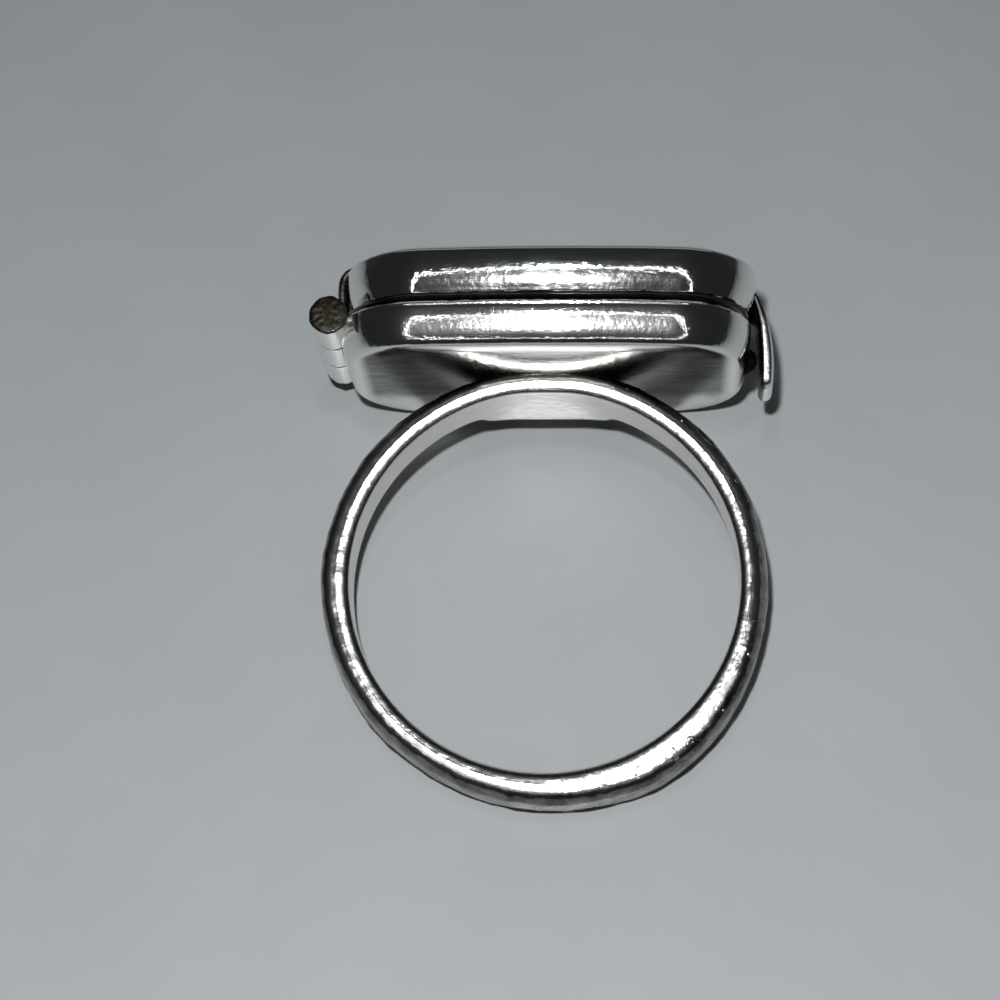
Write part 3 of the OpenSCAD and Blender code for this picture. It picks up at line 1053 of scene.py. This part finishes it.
def strip(name, line, halves, thicks, power):
    """A strip along (x, z) points. halves and thicks are its half width and half thickness."""
    line = np.array(line)
    ahead = np.gradient(line, axis=0)
    ahead /= np.linalg.norm(ahead, axis=1)[:, None]
    out = np.stack([ahead[:, 1], -ahead[:, 0]], 1)
    a = TURN * (np.arange(SIDES) + 0.5) / SIDES
    across = np.sign(np.cos(a)) * np.abs(np.cos(a)) ** power
    through = np.sign(np.sin(a)) * np.abs(np.sin(a)) ** power
    points = []
    for k in range(len(line)):
        x = line[k, 0] + out[k, 0] * through * thicks[k]
        z = line[k, 1] + out[k, 1] * through * thicks[k]
        points += list(zip(x, across * halves[k], z))
    print(f"{name}: a strip of {len(line)} sections")
    faces = tube_faces(len(line), SIDES, first_cap=True, last_cap=True)
    return merged(mesh_of(name, points, faces), 0.0008)


# %% [markdown]
# The tongue is the spring that keeps the box shut. It leaves the lid's end, runs down past the
# seam and snaps over the bead on the tray. It is flat inside, bowed and thickest outside, and
# ends in a round tip that a fingernail can lift.

# %% Tongue
TIP_Z, TIP_LONG = 8.80, 0.55
# Rows of x, z and half thickness down the tongue.
TONGUE = [
    (9.10, 13.40, 0.10), (9.40, 13.05, 0.17), (9.62, 12.50, 0.22), (9.77, 11.90, 0.26),
    (9.87, 11.20, 0.31), (9.92, 10.60, 0.33), (9.94, 10.00, 0.33), (9.93, 9.45, 0.32),
    (9.90, 9.00, 0.31),
]
TIP = [(9.90, 8.90, 0.27), (9.90, 8.84, 0.20), (9.90, 8.81, 0.12), (9.90, TIP_Z, 0.03)]
rows = np.concatenate([drawn(TONGUE, 60), TIP])
from_tip = np.clip((rows[:, 1] - TIP_Z) / TIP_LONG, 0, 1)
narrowing = 0.5 * (1 - np.sqrt(1 - (1 - from_tip) ** 2))
halves = 1.32 + 0.085 * (rows[:, 1] - 9.0) - narrowing
tongue_mesh = strip("clasp_tongue", rows[:, :2], halves, rows[:, 2], power=0.5)
finish_piece("clasp_tongue", tongue_mesh, "lid", [TONGUE_SILVER], crease=60)

# %% [markdown]
# The hinge leaf is the strap that joins the middle knuckle to the lid. It climbs the lid's end
# wall and laps over its edge, where it thins out to nothing under the solder.

# %% Hinge leaf
LEAF_HALF = 1.24
# Rows of x, z and half thickness up the leaf.
LEAF = [
    (-9.15, 11.95, 0.24), (-9.22, 12.50, 0.25), (-9.27, 13.05, 0.25), (-9.28, 13.60, 0.25),
    (-9.22, 14.05, 0.25), (-9.00, 14.38, 0.22), (-8.68, 14.52, 0.16), (-8.35, 14.55, 0.05),
]
rows = drawn(LEAF, 48)
leaf_mesh = strip("hinge_leaf", rows[:, :2], [LEAF_HALF] * len(rows), rows[:, 2], power=0.6)
finish_piece("hinge_leaf", leaf_mesh, "lid", [LEAF_SILVER], crease=60)

# %% [markdown]
# The pin is a piece of wire whose ends were tapped flat over the hole, so each end is a low
# rough button. It is turned like a bead on a lathe, ring by ring along the finger, and a noise
# that fades towards the axis knocks each ring out of round.

# %% Pin
PIN_END, PIN_ROUGH = 3.93, 0.05
# Rows of distance from the end and radius, up to the bare wire. The other end is the mirror.
BUTTON = [
    (0, 0.0), (0.005, 0.2), (0.01, 0.4), (0.02, 0.6), (0.04, 0.78), (0.075, 0.86), (0.10, 0.87),
    (0.14, 0.80), (0.16, 0.6), (0.18, 0.40),
]
rows = [(share - PIN_END, radius) for share, radius in BUTTON]
rows += [(-y, r) for y, r in reversed(rows)]
points = []
for y, r in rows:
    for i in range(SIDES):
        a = TURN * i / SIDES
        p = HINGE_AT + Vector((r * math.cos(a), y, r * math.sin(a)))
        points.append(p + PIN_ROUGH * noise.noise_vector(p * 4) * min(1, r * 3))
pin_mesh = merged(mesh_of("hinge_pin", points, tube_faces(len(rows), SIDES)), 0.0008)
finish_piece("pin", pin_mesh, "ring", [HINGE_GRAIN], ("hinge_pin",), 60)

# %% [markdown]
# The catch bead is a drop of solder on the end wall, filed a little, with a skirt where it
# flowed. A plain ball would look bought. It is a dome of rings whose radius shrinks with
# height, pushed about by a slow noise and a fine one.

# %% Catch bead
CATCH_AT = (9.20, 10.45)
CATCH_TALL = 1.15
# Rows of radius and height over the end wall. The first row lies inside the wall.
DROP = [
    (0.60, -0.30), (0.50, -0.02), (0.44, 0.06), (0.40, 0.14), (0.36, 0.22), (0.30, 0.28),
    (0.2, 0.33), (0.1, 0.35), (0.0, 0.36),
]
points = []
for r, out in DROP:
    for i in range(SIDES):
        a = TURN * i / SIDES
        z = CATCH_AT[1] + CATCH_TALL * r * math.sin(a)
        p = Vector((CATCH_AT[0] + out, r * math.cos(a), z))
        points.append(p + 0.05 * noise.noise_vector(p * 2.4) + 0.012 * noise.noise_vector(p * 9))
faces = tube_faces(len(DROP), SIDES, first_cap=True)
bead_mesh = merged(mesh_of("catch_bead", points, faces), 0.0008)
finish_piece("catch_bead", bead_mesh, "ring", [HINGE_GRAIN], crease=60)

# %% [markdown]
# A mirror shows its room, so the light is most of the look. The ring was taken close, with a
# flash: a small strong light just over the lens, and a weaker, cooler one above it, which draws
# the thin white line on top of each form. The room round it is dark, and one faint soft box
# behind lights the far side.


# %% Lights
FLASH_UP, FLASH_RIGHT, FLASH_SIZE, FLASH_W = 0.019, -0.008, 0.006, 0.22
WINDOW_UP, WINDOW_RIGHT, WINDOW_SIZE, WINDOW_W = 0.056, -0.006, 0.008, 0.031
COOL, NEUTRAL = (0.80, 0.90, 1.0), (0.97, 0.99, 0.95)
picture_up = camera.rotation_quaternion @ Vector((0, 1, 0))
picture_right = camera.rotation_quaternion @ Vector((1, 0, 0))


def by_the_lens(up, right):
    """A place beside the camera, in metres up and to the right in the picture."""
    return CAMERA_AT + picture_up * up + picture_right * right


def area_light(name, at, aim, width, power, colour=(1, 1, 1), tall=None):
    lamp = bpy.data.lights.new(name, "AREA")
    lamp.shape, lamp.size, lamp.size_y = "ELLIPSE", width, tall or width
    lamp.energy, lamp.color = power, colour
    holder = bpy.data.objects.new(name, lamp)
    bpy.context.scene.collection.objects.link(holder)
    holder.location = at
    holder.rotation_mode = "QUATERNION"
    holder.rotation_quaternion = (Vector(aim) - Vector(at)).to_track_quat("-Z", "Y")
    print(f"{name}: {power} W from {(Vector(at) - Vector(aim)).length * 1000:.0f} mm away")


area_light("flash", by_the_lens(FLASH_UP, FLASH_RIGHT), CAMERA_AIM, FLASH_SIZE, FLASH_W)
area_light(
    "window", by_the_lens(WINDOW_UP, WINDOW_RIGHT), CAMERA_AIM, WINDOW_SIZE, WINDOW_W, COOL,
)
area_light("back", Vector((0.02, 0.34, 0.16)), (0, 0, 0), 0.5, 0.06, NEUTRAL, 0.2)

# %% [markdown]
# Round the lens stands a soft ring of light, as macro lamps have. On the bulging walls of the
# box it is drawn out into the long bright loop that shows on lid and tray. An area light can't
# be a ring, so it is a flat band of faces that glow, unseen by the camera itself.

# %% Soft ring of light round the lens
GLOW_RADII, GLOW_WIDE, GLOW_TALL, GLOW_STRENGTH = (0.052, 0.058), 1.15, 0.9, 2.5
GLOW_NEARER, GLOW_STEPS = 0.93, 96
middle = CAMERA_AT * GLOW_NEARER
points = []
for i in range(GLOW_STEPS):
    a = TURN * i / GLOW_STEPS
    way = picture_right * math.cos(a) * GLOW_WIDE + picture_up * math.sin(a) * GLOW_TALL
    points += [middle + way * r for r in GLOW_RADII]
last = len(points)
faces = [(k, k + 1, (k + 3) % last, (k + 2) % last) for k in range(0, last, 2)]
glow = bpy.data.materials.new("ring_light")
glow.use_nodes = True
lamp = Tree(glow.node_tree).node("ShaderNodeEmission", {}, {"Strength": GLOW_STRENGTH})
glow.node_tree.links.new(lamp.socket, glow.node_tree.nodes["Material Output"].inputs["Surface"])
light_mesh = mesh_of("ring_light", points, faces)
light_mesh.materials.append(glow)
ring_light = bpy.data.objects.new("ring_light", light_mesh)
bpy.context.scene.collection.objects.link(ring_light)
ring_light.visible_camera = False
print("ring_light:", len(faces), "faces, mean radius, mm:", round(sum(GLOW_RADII) * 500, 1))

# %% [markdown]
# The floor is a plain pale sheet, cool in colour, with a faint mottle and a soft sheen. It grows a
# touch lighter towards the lower edge of the picture: painted light, the flash's falloff laid into
# its colour.
# The silver mirrors it on all its lower faces, so its colour matters as much as a lamp's.

# %% Floor
FLOOR_HALF, FLOOR_ROUGH = 1.5, 0.32
FLOOR_DARK, FLOOR_LIGHT = (0.242, 0.258, 0.266, 1), (0.350, 0.366, 0.373, 1)
floor_finish = bpy.data.materials.new("floor")
floor_finish.use_nodes = True
t = Tree(floor_finish.node_tree)
place = t.node("ShaderNodeTexCoord", out="Object")
# The noise is the floor's own mottle; the step along Y is painted light, lighter nearer the lens and
# flash.
mottle_and_falloff = t.noise(place, 90.0, 4.0, 0.6) * 0.4 + t.parts(place)[1].smooth(-0.04, 0.045, 0.6, 0.0)
skin = floor_finish.node_tree.nodes["Principled BSDF"]
pale = t.mix(mottle_and_falloff, FLOOR_DARK, FLOOR_LIGHT)
floor_finish.node_tree.links.new(pale.socket, skin.inputs["Base Color"])
skin.inputs["Roughness"].default_value = FLOOR_ROUGH
corners = [(-1, -1), (1, -1), (1, 1), (-1, 1)]
floor_mesh = bpy.data.meshes.new("floor")
floor_mesh.from_pydata(
    [(x * FLOOR_HALF, y * FLOOR_HALF, FLOOR_Z) for x, y in corners], [], [(0, 1, 2, 3)]
)
floor_mesh.materials.append(floor_finish)
floor = bpy.data.objects.new("floor", floor_mesh)
bpy.context.scene.collection.objects.link(floor)
print("floor:", 2 * FLOOR_HALF, "m square")

# %% [markdown]
# The room is nearly black, as a room is beside a flash, and a little lighter low down behind
# the ring. An even grey room would fill the dark bands between the highlights, and the silver
# would look painted. The colours are shown as they are, without a film curve.

# %% Room
ROOM_DARK, ROOM_BEHIND = (0.013, 0.0155, 0.0145, 1), (0.042, 0.048, 0.044, 1)
world = bpy.data.worlds.new("room")
bpy.context.scene.world = world
world.use_nodes = True
t = Tree(world.node_tree)
towards = t.parts(t.node("ShaderNodeTexCoord", out="Generated"))
behind = towards[1].smooth(0.1, 0.9) * abs(towards[2]).smooth(0.0, 0.7, 1.0, 0.0)
shade = t.mix(behind, ROOM_DARK, ROOM_BEHIND)
world.node_tree.links.new(shade.socket, world.node_tree.nodes["Background"].inputs["Color"])
bpy.context.scene.view_settings.view_transform = "Standard"
print("room:", len(world.node_tree.nodes), "nodes")

# %% [markdown]
